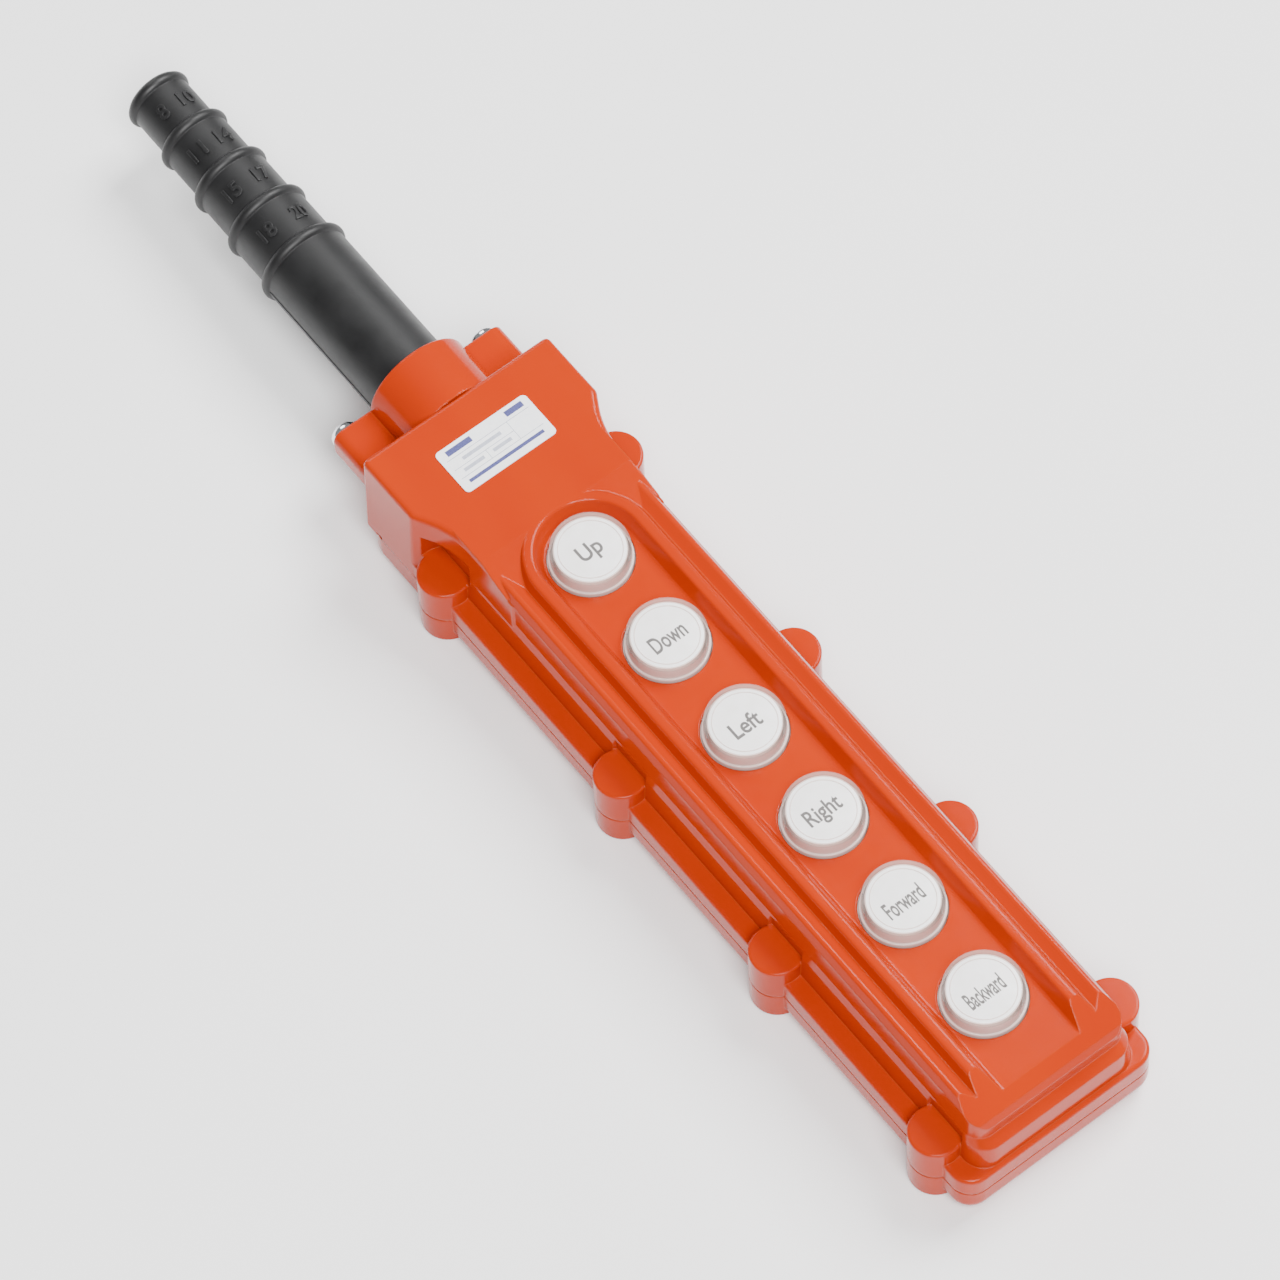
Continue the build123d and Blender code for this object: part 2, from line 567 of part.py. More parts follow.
def gland_collar():
    """Oval collar with two ears; it holds the sleeve's flange against the head."""
    length = COLLAR_END_Y - HEAD_END_Y
    plane = Plane(origin=(0, HEAD_END_Y, 0), x_dir=(-1, 0, 0), z_dir=(0, 1, 0))
    oval = Pos(0, COLLAR_TOP_CENTRE_Z) * Circle(COLLAR_R) + Pos(0, CABLE_Z) * Circle(COLLAR_R)
    oval = oval + Pos(0, (COLLAR_TOP_CENTRE_Z + CABLE_Z) / 2) * Rectangle(
        2 * COLLAR_R, COLLAR_TOP_CENTRE_Z - CABLE_Z)
    ears = Pos(0, CABLE_Z) * RectangleRounded(2 * EAR_HALF_SPAN, 2 * EAR_HALF_HEIGHT, EAR_CORNER_R)
    collar = extrude(plane * oval, amount=length) + extrude(plane * ears, amount=length)
    collar = fillet(collar.edges().group_by(Axis.Y)[-1], COLLAR_EDGE_R)
    collar = collar - rod_y(0, CABLE_Z, SLEEVE_R + 0.3, HEAD_END_Y - 1, COLLAR_END_Y + 1)
    collar = collar - rod_y(0, CABLE_Z, SLEEVE_FLANGE_R + 0.3, HEAD_END_Y - 1,
                            HEAD_END_Y + SLEEVE_FLANGE_T + 0.1)
    for x in (-GLAND_SCREW_X, GLAND_SCREW_X):
        collar = collar - rod_y(x, CABLE_Z, GLAND_SCREW_R + 0.3, HEAD_END_Y - 1, COLLAR_END_Y + 1)
    return collar


def gland_screws():
    """Two long dome-head screws through the ears."""
    shank_length = COLLAR_END_Y - GLAND_SCREW_TIP_Y
    head = Pos(0, 0, GLAND_SCREW_HEAD_H / 2) * Cylinder(GLAND_SCREW_HEAD_R, GLAND_SCREW_HEAD_H)
    head = fillet(head.edges().sort_by(Axis.Z)[-1], GLAND_SCREW_HEAD_H * 0.85)
    shank = Pos(0, 0, -shank_length / 2) * Cylinder(GLAND_SCREW_R, shank_length)
    screw = head + shank - Pos(0, 0, GLAND_SCREW_HEAD_H) * cross_recess(2.3, 1.8)
    turned = Rot(-90, 0, 0) * screw
    return [Pos(x, COLLAR_END_Y, CABLE_Z) * turned for x in (-GLAND_SCREW_X, GLAND_SCREW_X)]


# ================================================================= buttons
def button_cap():
    """Clear stepped cap, hollow, with a flange that holds it under the plate."""
    top = post(0, 0, CAP_R, CAP_RIM_TOP_Z - 1, CAP_TOP_Z)
    top = fillet(top.edges().sort_by(Axis.Z)[-1], CAP_EDGE_R)
    rim = post(0, 0, CAP_RIM_R, CAP_FLANGE_LOW_Z, CAP_RIM_TOP_Z)
    rim = fillet(rim.edges().sort_by(Axis.Z)[-1], 0.4)
    flange = post(0, 0, CAP_FLANGE_R, CAP_FLANGE_LOW_Z, CAP_FLANGE_TOP_Z)
    return top + rim + flange - post(0, 0, CAP_BORE_R, CAP_FLANGE_LOW_Z - 1, CAP_CEILING_Z)


def legend_disc():
    """White disc that shows through the cap and carries the button's word."""
    return post(0, 0, LEGEND_R, CAP_CEILING_Z - LEGEND_THICKNESS, CAP_CEILING_Z)


def plunger():
    """Stem under the cap, with a head that the disc lies on and a collar above the bridge."""
    head_top = CAP_CEILING_Z - LEGEND_THICKNESS
    head_low = head_top - PLUNGER_HEAD_THICKNESS
    collar_z = BRIDGE_Z + STRIP_T
    body = post(0, 0, PLUNGER_HEAD_R, head_low, head_top) + post(0, 0, STEM_R, STEM_TIP_Z, head_low)
    return body + post(0, 0, STEM_R + COLLAR_WIDTH, collar_z, collar_z + COLLAR_WIDTH)


def return_spring():
    """Compression spring between the contact block and the plunger's head."""
    low = TOWER_TOP_Z + SPRING_WIRE_R
    high = CAP_CEILING_Z - LEGEND_THICKNESS - PLUNGER_HEAD_THICKNESS - SPRING_WIRE_R
    path = Pos(0, 0, low) * Helix((high - low) / SPRING_TURNS, high - low, SPRING_R)
    section = Plane(origin=path @ 0, z_dir=path % 0) * Circle(SPRING_WIRE_R)
    return sweep(section, path=path, is_frenet=True)


def contact_bridge():
    """Metal strip across the stem, with a silver contact under each end."""
    strip = slab(-BRIDGE_HALF_LENGTH, BRIDGE_HALF_LENGTH, -STRIP_HALF_WIDTH, STRIP_HALF_WIDTH,
                 BRIDGE_Z, BRIDGE_Z + STRIP_T)
    ring = post(0, 0, STEM_R + 1, BRIDGE_Z, BRIDGE_Z + STRIP_T)
    tips = both_sides(post(CONTACT_X, 0, CONTACT_R, BRIDGE_Z - CONTACT_H, BRIDGE_Z))
    return strip + ring + tips - post(0, 0, STEM_R + 0.05, BRIDGE_Z - 2, BRIDGE_Z + 2)


def button_seals():
    """Six seal rings under the plate, one round each button hole."""
    return [post(0, button_y(index), SEAL_OUTER_R, CAP_FLANGE_TOP_Z, PLATE_Z - WALL)
            - post(0, button_y(index), SEAL_INNER_R, CAP_FLANGE_TOP_Z - 1, PLATE_Z)
            for index in range(len(BUTTON_NAMES))]


# ================================================================= contact blocks and rail
def contact_block():
    """Moulded switch block for two buttons, centred on Y = 0."""
    half = BLOCK_HALF_LENGTH
    block = slab(-BLOCK_HALF_WIDTH, BLOCK_HALF_WIDTH, -half, half, BLOCK_BASE_Z, LEDGE_Z)
    block = block + slab(-TOWER_HALF_WIDTH, TOWER_HALF_WIDTH, -half, half, LEDGE_Z - 1, TOWER_TOP_Z)
    for y in (-BUTTON_PITCH / 2, BUTTON_PITCH / 2):
        block = block - slab(-BLOCK_HALF_WIDTH - 1, BLOCK_HALF_WIDTH + 1, y - CHAMBER_HALF_LENGTH,
                             y + CHAMBER_HALF_LENGTH, LEDGE_Z, CHAMBER_TOP_Z)
        block = block - post(0, y, GUIDE_R, STEM_WELL_Z, TOWER_TOP_Z + 1)
        block = block - both_sides(
            post(TERMINAL_X, y, SMALL_SCREW_R + 0.05, TERMINAL_WELL_Z, LEDGE_Z + 1))
    for y in (-BLOCK_SCREW_OFFSET, BLOCK_SCREW_OFFSET):
        block = block - post(0, y, SMALL_SCREW_R + SCREW_CLEARANCE, 0, TOWER_TOP_Z + 1)
        block = block - post(0, y, SMALL_SCREW_HEAD_R + 0.4, BLOCK_SCREW_SEAT_Z, TOWER_TOP_Z + 1)
    return block


def fixed_contacts():
    """Four brass strips of a block, each from a terminal to a contact in the chamber."""
    strip = slab(STRIP_INNER_X, STRIP_OUTER_X, -STRIP_HALF_WIDTH, STRIP_HALF_WIDTH,
                 LEDGE_Z, LEDGE_Z + STRIP_T)
    strip = strip + post(CONTACT_X, 0, CONTACT_R, LEDGE_Z + STRIP_T, LEDGE_Z + STRIP_T + CONTACT_H)
    strip = strip - post(TERMINAL_X, 0, SMALL_SCREW_R + SCREW_CLEARANCE, 0, TOWER_TOP_Z)
    other = mirror(strip, about=Plane.YZ)
    return [Pos(0, y, 0) * piece for y in (-BUTTON_PITCH / 2, BUTTON_PITCH / 2)
            for piece in (strip, other)]


def terminal_screws():
    """Two terminal screws at each button."""
    screw = pan_screw(SMALL_SCREW_R, SMALL_SCREW_HEAD_R, SMALL_SCREW_HEAD_H, 5.0)
    return [Pos(side * TERMINAL_X, button_y(index), LEDGE_Z + STRIP_T) * screw
            for index in range(len(BUTTON_NAMES)) for side in (-1, 1)]


def block_screws():
    """Two long screws through each contact block into the rail."""
    screw = pan_screw(SMALL_SCREW_R, SMALL_SCREW_HEAD_R, SMALL_SCREW_HEAD_H,
                      BLOCK_SCREW_SEAT_Z - BLOCK_BASE_Z + RAIL_THICKNESS + 1)
    return [Pos(0, pair_y(pair) + offset, BLOCK_SCREW_SEAT_Z) * screw
            for pair in range(3) for offset in (-BLOCK_SCREW_OFFSET, BLOCK_SCREW_OFFSET)]


def contact_rail():
    """Steel strip that carries the contact blocks, screwed to the cover's bosses."""
    rail = extrude(outline(RAIL_HALF_WIDTH, RAIL_LOW_Y, RAIL_HIGH_Y, 2, 2,
                           BLOCK_BASE_Z - RAIL_THICKNESS), amount=RAIL_THICKNESS)
    for y in RAIL_SCREW_YS:
        rail = rail - post(0, y, SMALL_SCREW_R + SCREW_CLEARANCE, 0, TOWER_TOP_Z)
    for pair in range(3):
        for offset in (-BLOCK_SCREW_OFFSET, BLOCK_SCREW_OFFSET):
            rail = rail - post(0, pair_y(pair) + offset, SMALL_SCREW_R + 0.05, 0, TOWER_TOP_Z)
    return rail - post(EARTH_X, EARTH_Y, EARTH_SCREW_R + 0.05, 0, TOWER_TOP_Z)


def rail_screws():
    """Four screws that hold the rail to the cover."""
    screw = pan_screw(SMALL_SCREW_R, SMALL_SCREW_HEAD_R, SMALL_SCREW_HEAD_H, 6.0)
    return [Pos(0, y, BLOCK_BASE_Z) * screw for y in RAIL_SCREW_YS]


def earth_screw():
    """Earth terminal of the rail."""
    return Pos(EARTH_X, EARTH_Y, BLOCK_BASE_Z) * pan_screw(EARTH_SCREW_R, 3.4, 2.2, 3.8)


def cable_clamp():
    """Saddle that grips the cable against the cradle in the head."""
    clamp = slab(-CLAMP_HALF_WIDTH, CLAMP_HALF_WIDTH, CLAMP_Y - CLAMP_HALF_LENGTH,
                 CLAMP_Y + CLAMP_HALF_LENGTH, CLAMP_LOW_Z, CLAMP_TOP_Z)
    clamp = fillet(clamp.edges().filter_by(Axis.Y), 1.0)
    clamp = clamp - rod_y(0, CABLE_Z, CLAMP_GROOVE_R, 0, HEAD_END_Y)
    for x in (-CLAMP_BOSS_X, CLAMP_BOSS_X):
        clamp = clamp - post(x, CLAMP_Y, SMALL_SCREW_R + SCREW_CLEARANCE, 0, BEYOND)
    return clamp


def clamp_screws():
    """Two screws that pull the saddle towards the cradle."""
    screw = pan_screw(SMALL_SCREW_R, SMALL_SCREW_HEAD_R, SMALL_SCREW_HEAD_H, 18.0)
    return [Pos(x, CLAMP_Y, CLAMP_LOW_Z) * Rot(180, 0, 0) * screw
            for x in (-CLAMP_BOSS_X, CLAMP_BOSS_X)]


# ================================================================= assembly
def make_nodes():
    """Every named piece of the station."""
    nodes = {
        "front_shell": front_shell(),
        "back_cover": back_cover(),
        "cover_gasket": cover_gasket(),
        "cover_screws": cover_screws(),
        "rating_label": rating_label(),
        "cable_sleeve": cable_sleeve(),
        "gland_collar": gland_collar(),
        "gland_screws": gland_screws(),
        "button_seals": button_seals(),
        "contact_rail": contact_rail(),
        "rail_screws": rail_screws(),
        "block_screws": block_screws(),
        "terminal_screws": terminal_screws(),
        "earth_screw": earth_screw(),
        "cable_clamp": cable_clamp(),
        "clamp_screws": clamp_screws(),
    }
    block = contact_block()
    for pair in range(3):
        place = Pos(0, pair_y(pair), 0)
        nodes[f"contact_block_{pair + 1}"] = place * block
        nodes[f"fixed_contacts_{pair + 1}"] = [place * piece for piece in fixed_contacts()]
    pieces = {
        "button_cap": button_cap(),
        "legend_disc": legend_disc(),
        "plunger": plunger(),
        "return_spring": return_spring(),
        "contact_bridge": contact_bridge(),
    }
    for index, name in enumerate(BUTTON_NAMES):
        for kind, solid in pieces.items():
            nodes[f"{kind}_{name}"] = Pos(0, button_y(index), 0) * solid
    return nodes


def write_nodes():
    """Write one STEP file for each node."""
    os.makedirs("parts", exist_ok=True)
    for name, shape in make_nodes().items():
        whole = Compound(children=shape) if isinstance(shape, list) else shape
        whole.label = name
        export_step(whole, f"parts/{name}.step")


write_nodes()
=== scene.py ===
"""Looks of the pendant control station: materials, legends, label print, sleeve marks and stage."""
import math

import bpy
from mathutils import Matrix, Vector


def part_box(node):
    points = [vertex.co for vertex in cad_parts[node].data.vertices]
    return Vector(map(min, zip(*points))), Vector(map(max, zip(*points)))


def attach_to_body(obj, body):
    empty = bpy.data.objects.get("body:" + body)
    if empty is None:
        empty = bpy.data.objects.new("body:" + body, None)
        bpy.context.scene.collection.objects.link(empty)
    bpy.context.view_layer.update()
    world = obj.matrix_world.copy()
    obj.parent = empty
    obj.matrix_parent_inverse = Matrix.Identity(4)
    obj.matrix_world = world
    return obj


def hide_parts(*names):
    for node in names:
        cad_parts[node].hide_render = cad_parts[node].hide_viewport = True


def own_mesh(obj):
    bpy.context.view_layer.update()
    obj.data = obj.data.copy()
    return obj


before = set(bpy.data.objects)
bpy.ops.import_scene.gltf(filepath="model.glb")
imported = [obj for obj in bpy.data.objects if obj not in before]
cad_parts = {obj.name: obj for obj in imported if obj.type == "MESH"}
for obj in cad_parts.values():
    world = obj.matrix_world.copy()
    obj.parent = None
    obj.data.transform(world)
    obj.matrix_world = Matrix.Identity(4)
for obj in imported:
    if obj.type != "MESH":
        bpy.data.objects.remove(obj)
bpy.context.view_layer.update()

bl_info = {
    "name": "Pendant control station",
    "blender": (4, 5, 0),
    "version": (1, 0, 0),
    "location": "View3D > Sidebar > Station",
    "description": "Finishes a moulded push-button pendant around its fixed frame",
    "category": "Object",
}

MM = 0.001
BUTTONS = ("up", "down", "left", "right", "forward", "backward")

# ---------------------------------------------------------------- places worked out from the frame
LABEL_LOW, LABEL_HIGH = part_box("rating_label")
SLEEVE_LOW, SLEEVE_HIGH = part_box("cable_sleeve")
SLEEVE_AXIS_Z = (SLEEVE_LOW[2] + SLEEVE_HIGH[2]) / 2
SLEEVE_TIP_Y = SLEEVE_HIGH[1]
CAP_TOP_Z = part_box("button_cap_up")[1][2]

# The stepped sleeve: sections counted back from its tip, with the cable sizes each one suits.
BEAD_PITCH = 18.3 * MM
SECTION_MARKS = (("8", "10"), ("11", "14"), ("15", "17"), ("18", "20"))
SECTION_RADII = (9.65 * MM, 10.75 * MM, 11.85 * MM, 12.95 * MM)
MAIN_RADIUS = 14.0 * MM
TIP_BEAD_WIDTH = 2 * MM

# Raised cable sizes: angle from the sleeve's top line, depth, and width of a digit by word length.
MARK_ANGLE = 0.46
MARK_PROUD = 0.5 * MM
MARK_SUNK = 0.3 * MM
DIGIT_SHARE = {1: 0.6, 2: 0.52}

# Flash line along the plain part of the sleeve.
SEAM_HALF_WIDTH = 0.25 * MM
SEAM_SUNK = 0.1 * MM
SEAM_THICKNESS = 0.3 * MM
SEAM_TAPER = 0.3
SEAM_START = 20 * MM
SEAM_END_GAP = 2 * MM

# Printed bars of the label.
BAR_SUNK = 0.02 * MM
BAR_THICKNESS = 0.06 * MM

# Under each clear cap: a disc that stands just above the CAD one, a fine ring and a word.
LEGEND_WIDTHS_MM = {"up": 7.6, "down": 11.6, "left": 9.6, "right": 11.6, "forward": 12.6,
                    "backward": 12.4}
LEGEND_THICKNESS = 0.06 * MM
LEGEND_GAP = 0.02 * MM
LEGEND_SHIFT = (-0.4 * MM, -0.7 * MM)
CAPITAL_SHARE = 0.78
FACE_LIFT = 0.05 * MM
RIM_RADIUS = 9.5 * MM
RIM_WIRE_R = 0.14 * MM
SPRING_WIRE_R = 0.4 * MM
SPRING_TURNS = 6

# Camera: azimuth, elevation and roll in degrees, target in millimetres, distance in metres.
CAMERA_ANGLES = (-34.72, 61.72, -3.54)
CAMERA_TARGET = (-5.48, -30.09, 42.0)
CAMERA_DISTANCE = 2.2842
CAMERA_LENS = 223.7

# Each light: name, place and side in metres, power in watts.
LIGHTS = (("key_softbox", (-0.5, -1.2, 2.2), 1.2, 105.0),
          ("top_softbox", (1.4, 0.2, 2.0), 1.2, 95.0),
          ("back_softbox", (0.2, 1.9, 1.3), 1.0, 18.0))
WORLD_STRENGTH = 0.3
FLOOR_SIZE = 12.0
FLOOR_DROP = 0.2 * MM


# ================================================================= colour and node helpers
def linear(code):
    """Linear RGBA of an sRGB hex colour such as E8602C."""
    values = [int(code[i:i + 2], 16) / 255 for i in (0, 2, 4)]
    return [v / 12.92 if v <= 0.04045 else ((v + 0.055) / 1.055) ** 2.4 for v in values] + [1.0]


def add_node(tree, kind, settings=None, links=None):
    """Add a node; settings name its properties or sockets, and links feed its sockets."""
    node = tree.nodes.new(kind)
    for key, value in (settings or {}).items():
        if isinstance(key, str) and hasattr(node, key):
            setattr(node, key, value)
        else:
            node.inputs[key].default_value = value
    for key, source in (links or {}).items():
        tree.links.new(source, node.inputs[key])
    return node


def start_material(name):
    """Empty node material; returns it with its tree and output node."""
    material = bpy.data.materials.new(name)
    material.use_nodes = True
    tree = material.node_tree
    tree.nodes.clear()
    return material, tree, add_node(tree, "ShaderNodeOutputMaterial")


def object_space(tree, scale=(1.0, 1.0, 1.0)):
    """Object coordinates in metres, stretched by scale."""
    coords = add_node(tree, "ShaderNodeTexCoord")
    mapping = add_node(tree, "ShaderNodeMapping", {"Scale": scale},
                       {"Vector": coords.outputs["Object"]})
    return mapping.outputs["Vector"]


def noise(tree, vector, size_mm, detail=3.0, roughness=0.5):
    """Noise whose features are about size_mm across."""
    node = add_node(tree, "ShaderNodeTexNoise",
                    {"Scale": 1.0 / (size_mm * MM), "Detail": detail, "Roughness": roughness},
                    {"Vector": vector})
    return node.outputs["Fac"]


def spread(tree, value, low, high, from_low=0.3, from_high=0.7):
    """Map a 0..1 pattern to a range of values."""
    node = add_node(tree, "ShaderNodeMapRange",
                    {"From Min": from_low, "From Max": from_high, "To Min": low, "To Max": high},
                    {"Value": value})
    return node.outputs["Result"]


def mix_colour(tree, factor, colour_a, colour_b):
    """Blend two colours, each a constant or a socket."""
    node = add_node(tree, "ShaderNodeMix", {"data_type": "RGBA"}, {"Factor": factor})
    for index, colour in ((6, colour_a), (7, colour_b)):
        if isinstance(colour, list):
            node.inputs[index].default_value = colour
        else:
            tree.links.new(colour, node.inputs[index])
    return node.outputs[2]


def bump(tree, height, depth_mm, normal=None, strength=1.0):
    """Bump of a real depth."""
    links = {"Height": height}
    if normal is not None:
        links["Normal"] = normal
    node = add_node(tree, "ShaderNodeBump", {"Strength": strength, "Distance": depth_mm * MM},
                    links)
    return node.outputs["Normal"]


def rounded_edges(tree, radius_mm):
    """Normal that is rounded over every sharp edge."""
    bevel = add_node(tree, "ShaderNodeBevel", {"samples": 6, "Radius": radius_mm * MM})
    return bevel.outputs["Normal"]


def paint_edge_highlight(tree, rounded, colour, highlight_colour, share):
    """Paint a highlight along the sharp edges by blending in a share of a paler colour."""
    flat = add_node(tree, "ShaderNodeNewGeometry")
    dot = add_node(tree, "ShaderNodeVectorMath", {"operation": "DOT_PRODUCT"},
                   {0: rounded, 1: flat.outputs["Normal"]})
    mask = spread(tree, dot.outputs["Value"], 1.0, 0.0, 0.85, 0.99)
    highlight_amount = add_node(tree, "ShaderNodeMath", {"operation": "MULTIPLY", 1: share}, {0: mask})
    return mix_colour(tree, highlight_amount.outputs["Value"], colour, highlight_colour)


def finish_material(tree, output, settings, links):
    """Principled shader with constant settings and linked patterns, joined to the output."""
    shader = add_node(tree, "ShaderNodeBsdfPrincipled", settings, links)
    tree.links.new(shader.outputs["BSDF"], output.inputs["Surface"])


# ================================================================= materials
def moulded_abs_orange(looks):
    """ABS, injection moulded in a polished tool: glossy, faintly rippled, with a painted highlight
    in a paler colour along its sharp edges.
    """
    material, tree, output = start_material("moulded_abs_orange")
    space = object_space(tree)
    flow = noise(tree, object_space(tree, (1.0, 0.25, 1.0)), 22.0, 2.0)
    scuff = noise(tree, space, 3.0, 6.0, 0.65)
    normal = rounded_edges(tree, looks.edge_radius / MM)
    base = list(looks.housing_colour)
    deep = [base[0] * 0.93, base[1] * 0.82, base[2] * 0.80, 1.0]
    pale = [min(1.0, base[0] * 1.08), base[1] * 2.2 + 0.03, base[2] + 0.03, 1.0]
    colour = mix_colour(tree, spread(tree, flow, 0.0, 1.0), base, deep)
    # Painted highlight: a share of the pale colour blended in along the sharp edges.
    colour = paint_edge_highlight(tree, normal, colour, pale, 0.35)
    ripple = bump(tree, noise(tree, space, 8.0, 1.0), 0.03, normal, 0.2)
    finish_material(tree, output, {"IOR": 1.45, "Specular IOR Level": 0.18}, {
        "Base Color": colour, "Roughness": spread(tree, scuff, 0.10, 0.18), "Normal": ripple})
    return material


def moulded_rubber(looks):
    """Black rubber, compression moulded: satin, with fine grain and a dusty bloom in patches."""
    material, tree, output = start_material("moulded_rubber")
    space = object_space(tree)
    bloom = noise(tree, space, 9.0, 5.0, 0.6)
    grain = noise(tree, space, 0.7, 3.0)
    normal = rounded_edges(tree, 0.5)
    base = list(looks.rubber_colour)
    dusty = [value * 1.4 for value in base[:3]] + [1.0]
    colour = mix_colour(tree, spread(tree, bloom, 0.0, 1.0), base, dusty)
    # Painted highlight: a paler grey blended in along the sharp edges.
    colour = paint_edge_highlight(tree, normal, colour, linear("2A2A2C"), 0.4)
    finish_material(tree, output, {"IOR": 1.5, "Specular IOR Level": 0.45}, {
        "Base Color": colour, "Roughness": spread(tree, bloom, 0.42, 0.54),
        "Normal": bump(tree, grain, 0.03, normal, 0.35)})
    return material


def sealing_rubber():
    """Soft black seal rubber, extruded: matt, with fine lines along it."""
    material, tree, output = start_material("sealing_rubber")
    lines = noise(tree, object_space(tree, (1.0, 0.1, 1.0)), 0.6, 2.0)
    finish_material(tree, output, {"Base Color": linear("1C1C1D"), "IOR": 1.5}, {
        "Roughness": spread(tree, lines, 0.6, 0.8), "Normal": bump(tree, lines, 0.03)})
    return material


def clear_acrylic():
    """Clear acrylic cap, moulded: see-through on top, with a milky side wall, and a rosy tint that
    is a painted reflection of the orange housing.
    """
    material, tree, output = start_material("clear_acrylic")
    space = object_space(tree)
    haze = noise(tree, space, 2.0, 4.0)
    place = add_node(tree, "ShaderNodeSeparateXYZ", None, {"Vector": space})
    milky = spread(tree, place.outputs["Z"], 0.55, 0.05,
                   CAP_TOP_Z - 2.0 * MM, CAP_TOP_Z - 0.6 * MM)
    # The faint rosy base colour is a painted reflection of the orange housing.
    finish_material(tree, output, {"Base Color": linear("FFE9E0"), "IOR": 1.49}, {
        "Alpha": milky, "Roughness": spread(tree, haze, 0.08, 0.14)})
    return material


def hazed_acrylic():
    """Acrylic where the cap's mould is textured: milky, with a painted rosy reflection of the
    orange housing.
    """
    material, tree, output = start_material("hazed_acrylic")
    haze = noise(tree, object_space(tree), 0.8, 3.0)
    # Both tones hold a painted rosy reflection of the orange housing.
    colour = mix_colour(tree, spread(tree, haze, 0.0, 1.0), linear("E8D9D3"), linear("DCC9C2"))
    finish_material(tree, output, {"IOR": 1.49}, {
        "Base Color": colour, "Roughness": spread(tree, haze, 0.25, 0.4)})
    return material


def white_abs():
    """White ABS disc, moulded: even, slightly warm, with a silky surface."""
    material, tree, output = start_material("white_abs")
    cloud = noise(tree, object_space(tree), 4.0, 3.0)
    colour = mix_colour(tree, spread(tree, cloud, 0.0, 1.0), linear("FFFFFF"), linear("F7F6F4"))
    finish_material(tree, output, {"IOR": 1.5}, {
        "Base Color": colour, "Roughness": spread(tree, cloud, 0.32, 0.42)})
    return material


def white_nylon():
    """Natural nylon plunger, moulded: waxy, off-white."""
    material, tree, output = start_material("white_nylon")
    cloud = noise(tree, object_space(tree), 3.0, 4.0)
    colour = mix_colour(tree, spread(tree, cloud, 0.0, 1.0), linear("E4DFD2"), linear("D5CFC0"))
    finish_material(tree, output, {"IOR": 1.53, "Subsurface Weight": 0.1}, {
        "Base Color": colour, "Roughness": spread(tree, cloud, 0.38, 0.5),
        "Normal": bump(tree, noise(tree, object_space(tree), 0.4), 0.01, None, 0.3)})
    return material


def black_phenolic():
    """Phenolic moulding of the contact blocks: dense black with a fine speckle of filler."""
    material, tree, output = start_material("black_phenolic")
    space = object_space(tree)
    speckle = noise(tree, space, 0.6, 4.0, 0.7)
    normal = rounded_edges(tree, 0.3)
    filler = spread(tree, speckle, 0.0, 1.0, 0.5, 0.75)
    colour = mix_colour(tree, filler, linear("1B1A1A"), linear("3A3633"))
    finish_material(tree, output, {"IOR": 1.6}, {
        "Base Color": colour, "Roughness": spread(tree, speckle, 0.34, 0.5),
        "Normal": bump(tree, speckle, 0.02, normal, 0.3)})
    return material


def chromed_steel():
    """Chrome-plated steel screw heads: mirror bright, with hairline tool marks."""
    material, tree, output = start_material("chromed_steel")
    marks = noise(tree, object_space(tree, (1.0, 6.0, 1.0)), 1.2, 4.0)
    colour = mix_colour(tree, spread(tree, marks, 0.0, 1.0), linear("F4F4F6"), linear("DADBDF"))
    finish_material(tree, output, {"Metallic": 1.0}, {
        "Base Color": colour, "Roughness": spread(tree, marks, 0.05, 0.16),
        "Normal": bump(tree, marks, 0.01, None, 0.3)})
    return material


def zinc_plated_steel():
    """Zinc-plated steel: bluish grey with a cloudy passivated bloom."""
    material, tree, output = start_material("zinc_plated_steel")
    space = object_space(tree)
    bloom = noise(tree, space, 3.0, 5.0, 0.6)
    normal = rounded_edges(tree, 0.15)
    colour = mix_colour(tree, spread(tree, bloom, 0.0, 1.0), linear("BFC4CB"), linear("9FA3A4"))
    finish_material(tree, output, {"Metallic": 1.0}, {
        "Base Color": colour, "Roughness": spread(tree, bloom, 0.26, 0.42),
        "Normal": bump(tree, noise(tree, space, 0.3), 0.01, normal, 0.3)})
    return material


def stamped_brass():
    """Brass strip, stamped: warm, with rolling lines and a little tarnish."""
    material, tree, output = start_material("stamped_brass")
    rolling = noise(tree, object_space(tree, (0.15, 1.0, 1.0)), 0.4, 3.0)
    tarnish = noise(tree, object_space(tree), 4.0, 4.0)
    colour = mix_colour(tree, spread(tree, tarnish, 0.0, 1.0), linear("D9B765"), linear("A98445"))
    finish_material(tree, output, {"Metallic": 1.0}, {
        "Base Color": colour, "Roughness": spread(tree, rolling, 0.22, 0.38),
        "Normal": bump(tree, rolling, 0.01, None, 0.4)})
    return material


def drawn_spring_wire():
    """Spring steel wire, drawn and oiled: dark grey with a tight highlight."""
    material, tree, output = start_material("drawn_spring_wire")
    streak = noise(tree, object_space(tree, (1.0, 1.0, 3.0)), 0.5, 3.0)
    colour = mix_colour(tree, spread(tree, streak, 0.0, 1.0), linear("A3A5A8"), linear("77797C"))
    finish_material(tree, output, {"Metallic": 1.0}, {
        "Base Color": colour, "Roughness": spread(tree, streak, 0.2, 0.34),
        "Normal": bump(tree, streak, 0.01, None, 0.3)})
    return material


def label_film():
    """White polyester label film: smooth, with a slight orange-peel from its adhesive."""
    material, tree, output = start_material("label_film")
    space = object_space(tree)
    peel = noise(tree, space, 1.6, 2.0)
    normal = rounded_edges(tree, 0.15)
    colour = mix_colour(tree, spread(tree, peel, 0.0, 1.0), linear("FDFDFE"), linear("F2F3F6"))
    finish_material(tree, output, {"IOR": 1.5}, {
        "Base Color": colour, "Roughness": spread(tree, peel, 0.22, 0.34),
        "Normal": bump(tree, peel, 0.01, normal, 0.2)})
    return material


